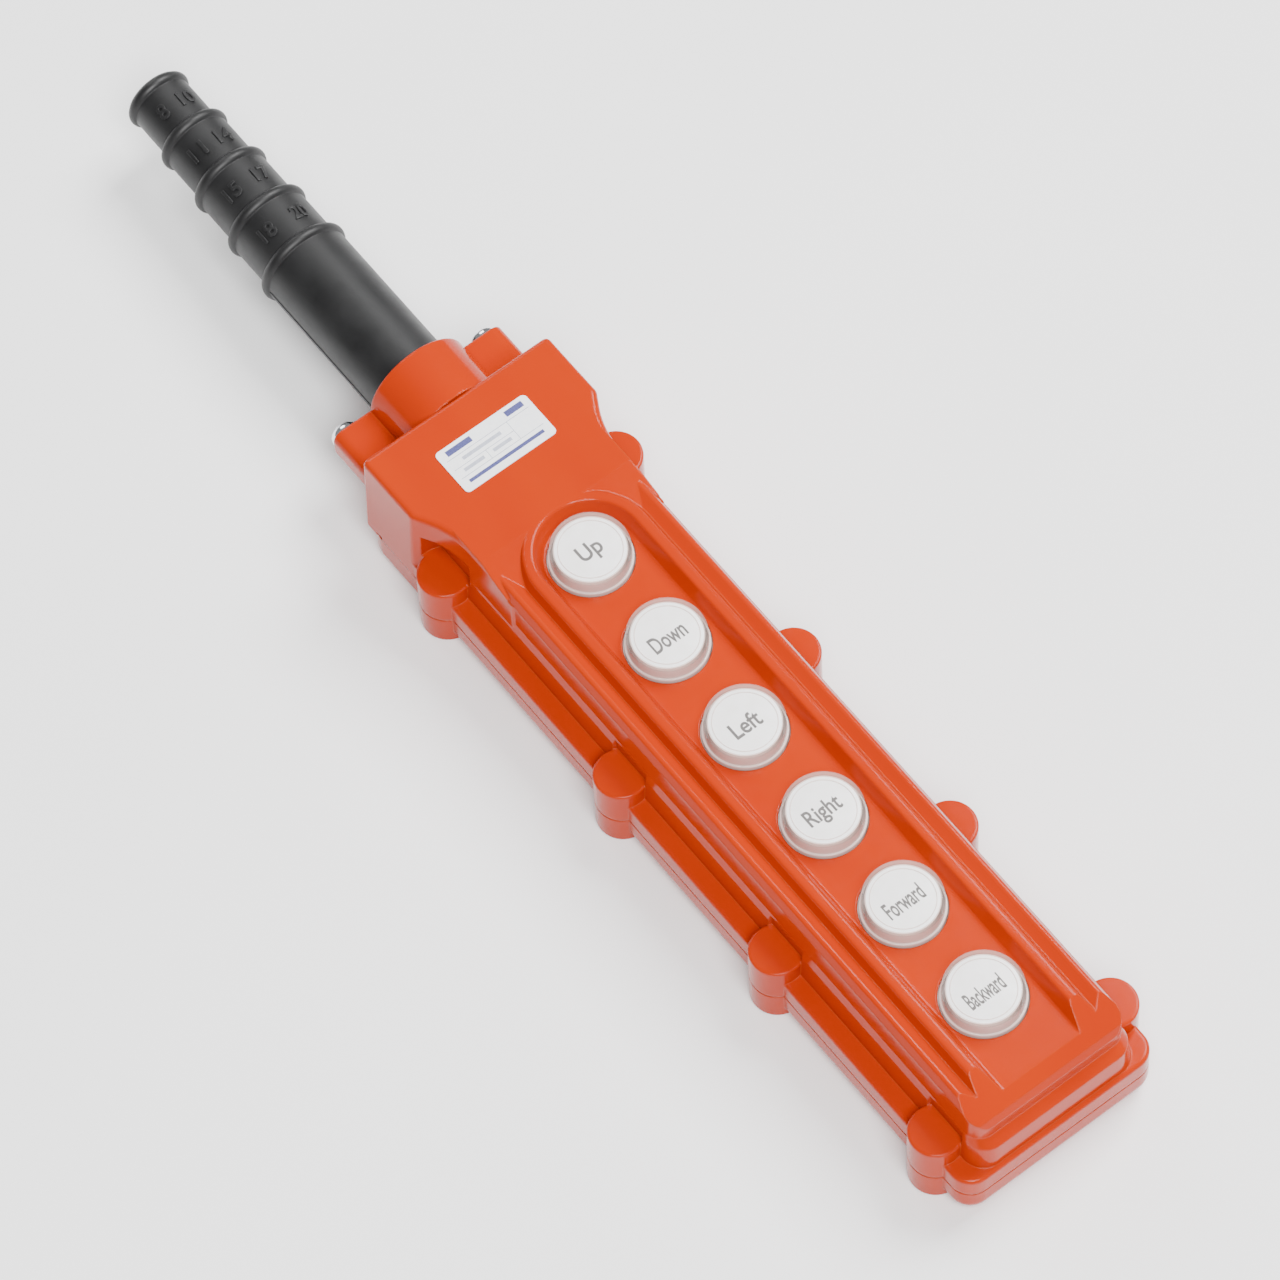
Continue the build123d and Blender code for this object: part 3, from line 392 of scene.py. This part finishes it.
def printed_ink(name, light, dark):
    """Screen-printed ink: a thin matt film, a touch thinner in places."""
    material, tree, output = start_material(name)
    thin = noise(tree, object_space(tree), 0.5, 3.0)
    colour = mix_colour(tree, spread(tree, thin, 0.0, 1.0), linear(dark), linear(light))
    finish_material(tree, output, {"IOR": 1.5}, {
        "Base Color": colour, "Roughness": spread(tree, thin, 0.45, 0.6)})
    return material


def pale_floor():
    """Pale matt sweep under the station."""
    material, tree, output = start_material("pale_floor")
    cloud = noise(tree, object_space(tree), 180.0, 2.0)
    colour = mix_colour(tree, spread(tree, cloud, 0.0, 1.0), linear("FCFCFC"), linear("F7F7F7"))
    finish_material(tree, output, {"Roughness": 0.9}, {"Base Color": colour})
    return material


# ================================================================= modelling helpers
def deselect_all():
    """Nothing selected, object mode."""
    if bpy.context.mode != "OBJECT":
        bpy.ops.object.mode_set(mode="OBJECT")
    bpy.ops.object.select_all(action="DESELECT")


def only(piece):
    """Make one object the selected and active one."""
    deselect_all()
    piece.select_set(True)
    bpy.context.view_layer.objects.active = piece


def settle(piece, name):
    """Name a finished piece and move its place into its mesh."""
    only(piece)
    bpy.ops.object.transform_apply(location=True, rotation=True, scale=True)
    piece.name = name
    piece.data.name = name
    return piece


def paint(piece, material):
    """Give an object one material."""
    piece.data.materials.clear()
    piece.data.materials.append(material)


def paint_node(node, material):
    """Give every slot of a CAD node one material."""
    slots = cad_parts[node].material_slots
    for entry in slots:
        entry.material = material


def attach(piece, body):
    """Ride a finished piece on a body."""
    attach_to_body(piece, body)


def box_centre(low, high):
    """Middle of a box, seen from above."""
    return (high[0] + low[0]) / 2, (high[1] + low[1]) / 2


def sheet(width, height):
    """Flat rectangle on the origin."""
    deselect_all()
    bpy.ops.mesh.primitive_plane_add(size=1.0)
    piece = bpy.context.object
    piece.data.transform(Matrix.Diagonal((width, height, 1.0, 1.0)))
    return piece


def thicken(piece, move, taper=None):
    """Make a solid of a sheet by moving a copy of it, which taper may then scale."""
    only(piece)
    bpy.ops.object.mode_set(mode="EDIT")
    bpy.ops.mesh.select_all(action="SELECT")
    bpy.ops.mesh.extrude_region_move(TRANSFORM_OT_translate={"value": move})
    if taper:
        bpy.ops.transform.resize(value=taper)
    bpy.ops.mesh.select_all(action="SELECT")
    bpy.ops.mesh.normals_make_consistent(inside=False)
    bpy.ops.object.mode_set(mode="OBJECT")


def close_mesh(piece, weld, cap_ends=False):
    """Weld points nearer than weld, cap open ends if asked, and turn every face outward."""
    only(piece)
    bpy.ops.object.mode_set(mode="EDIT")
    bpy.ops.mesh.select_all(action="SELECT")
    bpy.ops.mesh.remove_doubles(threshold=weld)
    if cap_ends:
        bpy.ops.mesh.fill_holes(sides=0)
    bpy.ops.mesh.normals_make_consistent(inside=False)
    bpy.ops.object.mode_set(mode="OBJECT")


def capital_height(text, whole_height):
    """Height of the capitals in a word whose outline is whole_height tall."""
    has_tail = any(letter in "gpqyj" for letter in text)
    return whole_height * (CAPITAL_SHARE if has_tail else 1.0)


def flat_word(text, width, height, thickness):
    """Thin mesh of a word, centred on the origin and face up; height is that of its capitals."""
    deselect_all()
    bpy.ops.object.text_add(location=(0, 0, 0))
    word = bpy.context.object
    word.data.body = text
    word.data.align_x = "CENTER"
    word.data.align_y = "CENTER"
    word.data.extrude = 0.02
    word.data.offset = 0.018
    word.data.resolution_u = 6
    bpy.ops.object.convert(target="MESH")
    word = bpy.context.object
    corners = [vertex.co.copy() for vertex in word.data.vertices]
    low = Vector(min(c[i] for c in corners) for i in range(3))
    high = Vector(max(c[i] for c in corners) for i in range(3))
    size = high - low
    middle = (high + low) / 2
    capital = capital_height(text, size.y)
    scale = Matrix.Diagonal((width / size.x, height / capital, thickness / size.z, 1.0))
    word.data.transform(scale @ Matrix.Translation(-middle))
    close_mesh(word, 1e-6)
    return word


# ================================================================= settings
class StationLooks(bpy.types.PropertyGroup):
    """Colours and sizes that a user may change."""
    housing_colour: bpy.props.FloatVectorProperty(
        name="Housing colour", description="Colour of the moulded housing", subtype="COLOR",
        size=4, min=0.0, max=1.0, default=linear("AC2D00"))
    rubber_colour: bpy.props.FloatVectorProperty(
        name="Rubber colour", description="Colour of the cable sleeve", subtype="COLOR",
        size=4, min=0.0, max=1.0, default=linear("0C0C0D"))
    edge_radius: bpy.props.FloatProperty(
        name="Edge radius", description="How round the moulded edges look", subtype="DISTANCE",
        unit="LENGTH", default=0.8 * MM, min=0.0, max=3 * MM)
    legend_height: bpy.props.FloatProperty(
        name="Legend height", description="Height of the capitals on the buttons",
        subtype="DISTANCE", unit="LENGTH", default=5.6 * MM, min=2 * MM, max=8 * MM)
    mark_height: bpy.props.FloatProperty(
        name="Mark height", description="Height of the cable sizes on the sleeve",
        subtype="DISTANCE", unit="LENGTH", default=5.2 * MM, min=2 * MM, max=8 * MM)


# ================================================================= operators
class STATION_OT_stage(bpy.types.Operator):
    """Camera, soft studio light and pale floor"""
    bl_idname = "station.stage"
    bl_label = "Stage"

    def execute(self, context):
        add_camera()
        add_floor()
        for name, place, size, power in LIGHTS:
            add_light(name, place, size, power)
        world = bpy.data.worlds.new("studio_white")
        world.use_nodes = True
        background = world.node_tree.nodes["Background"]
        background.inputs["Color"].default_value = linear("FFFFFF")
        background.inputs["Strength"].default_value = WORLD_STRENGTH
        context.scene.world = world
        return {"FINISHED"}


def add_camera():
    """Long lens that looks down on the station from the lower left."""
    azimuth, elevation, roll = (math.radians(angle) for angle in CAMERA_ANGLES)
    back = Vector((math.sin(azimuth) * math.cos(elevation),
                   -math.cos(azimuth) * math.cos(elevation), math.sin(elevation)))
    right = Vector((math.cos(azimuth), math.sin(azimuth), 0))
    up = back.cross(right)
    side = math.cos(roll) * right + math.sin(roll) * up
    top = -math.sin(roll) * right + math.cos(roll) * up
    target = Vector(CAMERA_TARGET) * MM
    turn = Matrix((side, top, back)).transposed().to_4x4()
    data = bpy.data.cameras.new("camera")
    data.sensor_width = 36.0
    data.lens = CAMERA_LENS
    data.clip_end = 20.0
    camera = bpy.data.objects.new("camera", data)
    camera.matrix_world = Matrix.Translation(target + back * CAMERA_DISTANCE) @ turn
    bpy.context.scene.collection.objects.link(camera)
    bpy.context.scene.camera = camera


def add_floor():
    """Wide floor just under the station."""
    deselect_all()
    bpy.ops.mesh.primitive_plane_add(size=FLOOR_SIZE, location=(0, 0, -FLOOR_DROP))
    floor = bpy.context.object
    settle(floor, "floor")
    paint(floor, pale_floor())


def add_light(name, place, size, power):
    """Square soft light that faces the station."""
    data = bpy.data.lights.new(name, "AREA")
    data.size = size
    data.energy = power
    light = bpy.data.objects.new(name, data)
    light.location = place
    light.rotation_euler = Vector(place).to_track_quat("Z", "Y").to_euler()
    bpy.context.scene.collection.objects.link(light)


class STATION_OT_housing(bpy.types.Operator):
    """Orange ABS housing, cover and gland collar"""
    bl_idname = "station.housing"
    bl_label = "Housing"

    def execute(self, context):
        abs_orange = moulded_abs_orange(context.scene.station_looks)
        for node in ("front_shell", "back_cover", "gland_collar"):
            paint_node(node, abs_orange)
        return {"FINISHED"}


class STATION_OT_screws(bpy.types.Operator):
    """Chromed gland screws and zinc-plated fixing screws"""
    bl_idname = "station.screws"
    bl_label = "Screws"

    def execute(self, context):
        paint_node("gland_screws", chromed_steel())
        zinc = zinc_plated_steel()
        for node in ("cover_screws", "contact_rail", "rail_screws", "block_screws",
                     "clamp_screws"):
            paint_node(node, zinc)
        return {"FINISHED"}


class STATION_OT_sleeve(bpy.types.Operator):
    """Rubber cable sleeve with its moulded cable sizes"""
    bl_idname = "station.sleeve"
    bl_label = "Cable sleeve"

    def execute(self, context):
        looks = context.scene.station_looks
        rubber = moulded_rubber(looks)
        paint_node("cable_sleeve", rubber)
        for index, marks in enumerate(SECTION_MARKS):
            middle_y = SLEEVE_TIP_Y - TIP_BEAD_WIDTH - (index + 0.5) * BEAD_PITCH
            for side, text in zip((-1, 1), marks):
                mark = sleeve_mark(text, side, SECTION_RADII[index], middle_y, looks.mark_height)
                settle(mark, f"sleeve_size_{text}")
                paint(mark, rubber)
                attach(mark, "housing")
        for side, name in ((-1, "left"), (1, "right")):
            seam = mould_seam(side)
            settle(seam, f"sleeve_seam_{name}")
            paint(seam, rubber)
            attach(seam, "housing")
        return {"FINISHED"}


def sleeve_mark(text, side, radius, middle_y, height):
    """Raised number wrapped on the sleeve, left or right of its top line."""
    word = flat_word(text, DIGIT_SHARE[len(text)] * height * len(text), height, 1.0)
    centre_angle = side * MARK_ANGLE
    for vertex in word.data.vertices:
        angle = centre_angle + vertex.co.x / radius
        reach = radius + (MARK_PROUD if vertex.co.z > 0 else -MARK_SUNK)
        vertex.co = Vector((reach * math.sin(angle), middle_y + vertex.co.y,
                            SLEEVE_AXIS_Z + reach * math.cos(angle)))
    return word


def mould_seam(side):
    """Fine flash line of the rubber mould along one side of the plain part of the sleeve."""
    start_y = SLEEVE_LOW[1] + SEAM_START
    end_y = SLEEVE_TIP_Y - TIP_BEAD_WIDTH - len(SECTION_MARKS) * BEAD_PITCH - SEAM_END_GAP
    seam = sheet(2 * SEAM_HALF_WIDTH, end_y - start_y)
    seam.data.transform(Matrix.Rotation(side * math.pi / 2, 4, "Y"))
    seam.data.transform(Matrix.Translation(
        (side * (MAIN_RADIUS - SEAM_SUNK), (start_y + end_y) / 2, SLEEVE_AXIS_Z)))
    thicken(seam, (side * SEAM_THICKNESS, 0, 0), (1.0, 1.0, SEAM_TAPER))
    return seam


class STATION_OT_label(bpy.types.Operator):
    """Label film with plain printed rules and blank fields"""
    bl_idname = "station.label"
    bl_label = "Label"

    def execute(self, context):
        paint_node("rating_label", label_film())
        print_label()
        return {"FINISHED"}


def print_label():
    """Rules and solid bars that divide the label into rows, with no lettering."""
    ink = printed_ink("label_ink_blue", "4A4C86", "35376E")
    rule_ink = printed_ink("label_ink_grey", "B9BCC8", "A4A7B6")
    width = LABEL_HIGH[0] - LABEL_LOW[0]
    height = LABEL_HIGH[1] - LABEL_LOW[1]
    # name, then left, right, low and high edges as shares of the label, then the ink
    fields = [
        ("title", 0.09, 0.36, 0.80, 0.92, ink), ("model", 0.74, 0.93, 0.80, 0.92, ink),
        ("rule_top", 0.05, 0.95, 0.725, 0.737, rule_ink),
        ("row_one", 0.18, 0.60, 0.585, 0.655, rule_ink),
        ("rule_middle", 0.05, 0.70, 0.500, 0.512, rule_ink),
        ("row_two_left", 0.12, 0.34, 0.375, 0.445, rule_ink),
        ("row_two_right", 0.44, 0.64, 0.375, 0.445, rule_ink),
        ("rule_low", 0.05, 0.95, 0.290, 0.302, rule_ink),
        ("divider_left", 0.385, 0.390, 0.302, 0.500, rule_ink),
        ("divider_right", 0.700, 0.705, 0.302, 0.725, rule_ink),
        ("footer", 0.09, 0.91, 0.14, 0.21, ink),
    ]
    for name, left, right, low, high, material in fields:
        bar = sheet(width * (right - left), height * (high - low))
        bar.data.transform(Matrix.Translation((
            LABEL_LOW[0] + width * (left + right) / 2, LABEL_LOW[1] + height * (low + high) / 2,
            LABEL_HIGH[2] - BAR_SUNK)))
        thicken(bar, (0, 0, BAR_THICKNESS))
        settle(bar, f"label_{name}")
        paint(bar, material)
        attach(bar, "housing")


class STATION_OT_buttons(bpy.types.Operator):
    """Clear caps over white discs with printed words"""
    bl_idname = "station.buttons"
    bl_label = "Buttons"

    def execute(self, context):
        looks = context.scene.station_looks
        acrylic = clear_acrylic()
        disc_white = white_abs()
        rim_clear = hazed_acrylic()
        ink = printed_ink("legend_ink_grey", "4E4E4E", "424242")
        for name in BUTTONS:
            paint_node(f"button_cap_{name}", acrylic)
            low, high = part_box(f"legend_disc_{name}")
            centre = box_centre(low, high)
            disc = legend_face(centre, (high[0] - low[0]) / 2, low[2], high[2])
            settle(disc, f"legend_face_{name}")
            paint(disc, disc_white)
            attach(disc, f"button_{name}")
            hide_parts(f"legend_disc_{name}")
            rim = inner_rim(centre, high[2] + 2 * FACE_LIFT)
            settle(rim, f"cap_inner_rim_{name}")
            paint(rim, rim_clear)
            attach(rim, f"button_{name}")
            word = flat_word(name.capitalize(), LEGEND_WIDTHS_MM[name] * MM, looks.legend_height,
                             LEGEND_THICKNESS)
            word.data.transform(Matrix.Translation((
                centre[0] + LEGEND_SHIFT[0], centre[1] + LEGEND_SHIFT[1],
                high[2] + FACE_LIFT + LEGEND_GAP)))
            settle(word, f"legend_word_{name}")
            paint(word, ink)
            attach(word, f"button_{name}")
        return {"FINISHED"}


def legend_face(centre, radius, low_z, high_z):
    """Disc with a softened rim whose face stands just inside the clear cap's ceiling."""
    deselect_all()
    bpy.ops.mesh.primitive_cylinder_add(
        vertices=96, radius=radius - FACE_LIFT, depth=high_z - low_z)
    disc = bpy.context.object
    middle_z = (high_z + low_z) / 2 + FACE_LIFT
    disc.data.transform(Matrix.Translation((*centre, middle_z)))
    soften(disc, 0.25 * MM)
    return disc


def inner_rim(centre, z):
    """Fine moulded ring inside the cap's ceiling, seen as a faint circle round the word."""
    deselect_all()
    bpy.ops.mesh.primitive_torus_add(
        major_segments=96, minor_segments=8, major_radius=RIM_RADIUS, minor_radius=RIM_WIRE_R)
    ring = bpy.context.object
    ring.data.transform(Matrix.Translation((*centre, z)))
    only(ring)
    bpy.ops.object.shade_smooth()
    return ring


def soften(piece, width):
    """Round the sharp edges of a piece, as a moulding tool does, and smooth its shading."""
    only(piece)
    bevel = piece.modifiers.new("soften", "BEVEL")
    bevel.width = width
    bevel.segments = 3
    bevel.limit_method = "ANGLE"
    bpy.ops.object.modifier_apply(modifier=bevel.name)
    bpy.ops.object.shade_smooth_by_angle(angle=math.radians(40))


def coil_spring(low, high):
    """Round-wire compression spring that fills the given box."""
    reach = (high[0] - low[0]) / 2 - SPRING_WIRE_R
    deselect_all()
    bpy.ops.mesh.primitive_circle_add(vertices=12, radius=SPRING_WIRE_R)
    coil = bpy.context.object
    coil.data.transform(Matrix.Rotation(math.pi / 2, 4, "X"))
    coil.data.transform(Matrix.Translation((reach, 0, 0)))
    screw = coil.modifiers.new("wind", "SCREW")
    screw.axis = "Z"
    screw.iterations = SPRING_TURNS
    screw.steps = 40
    screw.screw_offset = (high[2] - low[2] - 2 * SPRING_WIRE_R) / SPRING_TURNS
    only(coil)
    bpy.ops.object.modifier_apply(modifier=screw.name)
    close_mesh(coil, 1e-7, cap_ends=True)
    bpy.ops.object.shade_smooth_by_angle(angle=math.radians(60))
    coil.data.transform(Matrix.Translation((*box_centre(low, high), low[2] + SPRING_WIRE_R)))
    return coil


def shorten_with_button(spring):
    """Give a spring a mesh of its own; the spring is not squashed."""
    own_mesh(spring)


class STATION_OT_inside(bpy.types.Operator):
    """Plungers, springs, contacts and seals inside the housing"""
    bl_idname = "station.inside"
    bl_label = "Inside"

    def execute(self, context):
        nylon = white_nylon()
        wire = drawn_spring_wire()
        brass = stamped_brass()
        phenolic = black_phenolic()
        seal = sealing_rubber()
        for name in BUTTONS:
            paint_node(f"plunger_{name}", nylon)
            spring = coil_spring(*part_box(f"return_spring_{name}"))
            settle(spring, f"coil_spring_{name}")
            paint(spring, wire)
            attach(spring, "housing")
            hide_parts(f"return_spring_{name}")
            shorten_with_button(spring)
            paint_node(f"contact_bridge_{name}", brass)
        for number in (1, 2, 3):
            paint_node(f"contact_block_{number}", phenolic)
            paint_node(f"fixed_contacts_{number}", brass)
        for node in ("terminal_screws", "earth_screw"):
            paint_node(node, brass)
        for node in ("cover_gasket", "button_seals"):
            paint_node(node, seal)
        paint_node("cable_clamp", phenolic)
        return {"FINISHED"}


class STATION_PT_panel(bpy.types.Panel):
    """Sidebar panel that lists the station's pieces"""
    bl_idname = "STATION_PT_panel"
    bl_label = "Pendant control station"
    bl_space_type = "VIEW_3D"
    bl_region_type = "UI"
    bl_category = "Station"

    def draw(self, context):
        looks = context.scene.station_looks
        for name in ("housing_colour", "rubber_colour", "edge_radius", "legend_height",
                     "mark_height"):
            self.layout.prop(looks, name)
        for operator in STEPS:
            self.layout.operator(operator.bl_idname)


STEPS = (STATION_OT_stage, STATION_OT_housing, STATION_OT_screws, STATION_OT_sleeve,
         STATION_OT_label, STATION_OT_buttons, STATION_OT_inside)
CLASSES = (StationLooks,) + STEPS + (STATION_PT_panel,)


def register():
    """Register the classes and the scene's settings."""
    for item in CLASSES:
        bpy.utils.register_class(item)
    bpy.types.Scene.station_looks = bpy.props.PointerProperty(type=StationLooks)


def unregister():
    """Remove the settings and the classes."""
    del bpy.types.Scene.station_looks
    for item in reversed(CLASSES):
        bpy.utils.unregister_class(item)


def main():
    """Make every piece in order."""
    register()
    bpy.ops.station.stage()
    bpy.ops.station.housing()
    bpy.ops.station.screws()
    bpy.ops.station.sleeve()
    bpy.ops.station.label()
    bpy.ops.station.buttons()
    bpy.ops.station.inside()


if __name__ == "__main__":
    main()
